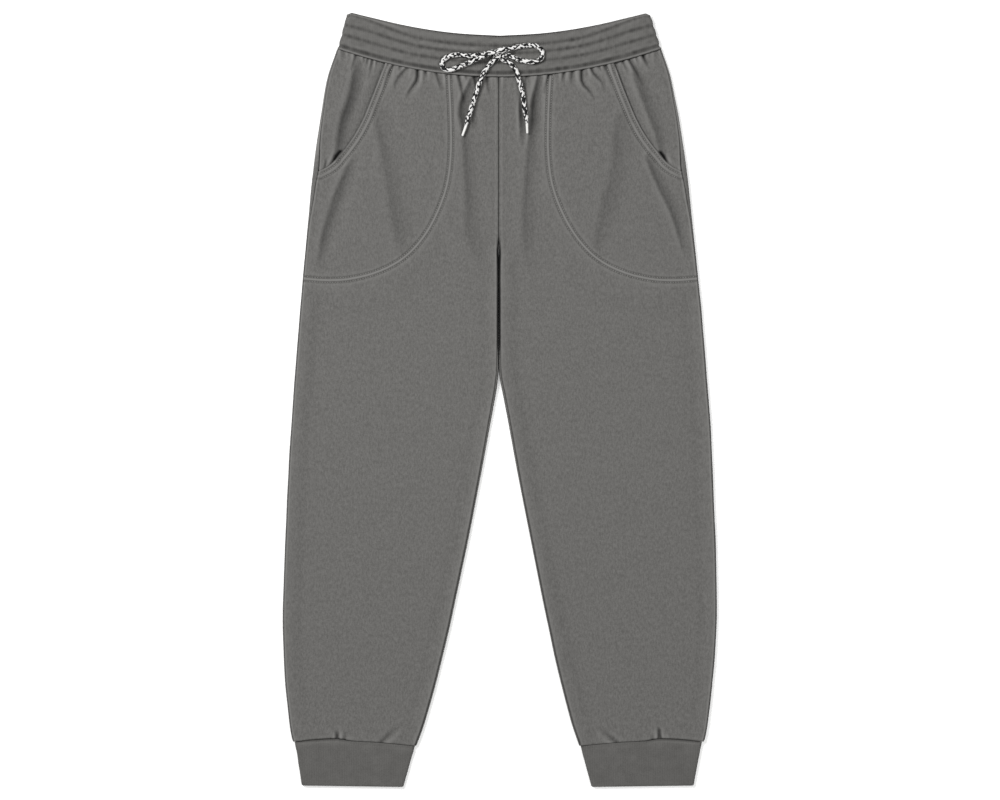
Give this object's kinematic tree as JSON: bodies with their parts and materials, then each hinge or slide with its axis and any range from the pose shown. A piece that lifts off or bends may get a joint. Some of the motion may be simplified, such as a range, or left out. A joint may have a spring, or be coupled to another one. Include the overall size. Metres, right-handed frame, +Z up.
{
  "type": "jogger sweatpants",
  "caption": "Jogger sweatpants lying flat: gathered elastic waistband with a tied drawcord, scoop hip pockets, tapered legs and rib-knit cuffs.",
  "frame": {"origin": "on the surface the trousers lie on, under the middle of their outline", "axes": "+X to the wearer's left, +Y from the cuffs to the waistband, +Z up from the surface, out of the front panels"},
  "size_m": [0.546, 0.9752, 0.0255],
  "materials": {
    "fleece": "matte brushed sweatshirt fleece, fine vertical knit, faded charcoal",
    "rib": "matte elastic rib knit, a little darker than the legs",
    "cord": "round braid of black and white polyester yarns",
    "tip": "smooth white plastic"
  },
  "bodies": {
    "root": {"front_left": "fleece", "front_right": "fleece", "back_left": "fleece", "back_right": "fleece", "pocket_bag_left": "fleece", "pocket_bag_right": "fleece", "waistband": "rib", "cuff_left": "rib", "cuff_right": "rib", "cord_knot": "cord", "cord_loop_left": "cord", "cord_loop_right": "cord", "cord_tail_left": "cord", "cord_tail_right": "cord", "cord_tip_left": "tip", "cord_tip_right": "tip"}
  },
  "joints": []
}
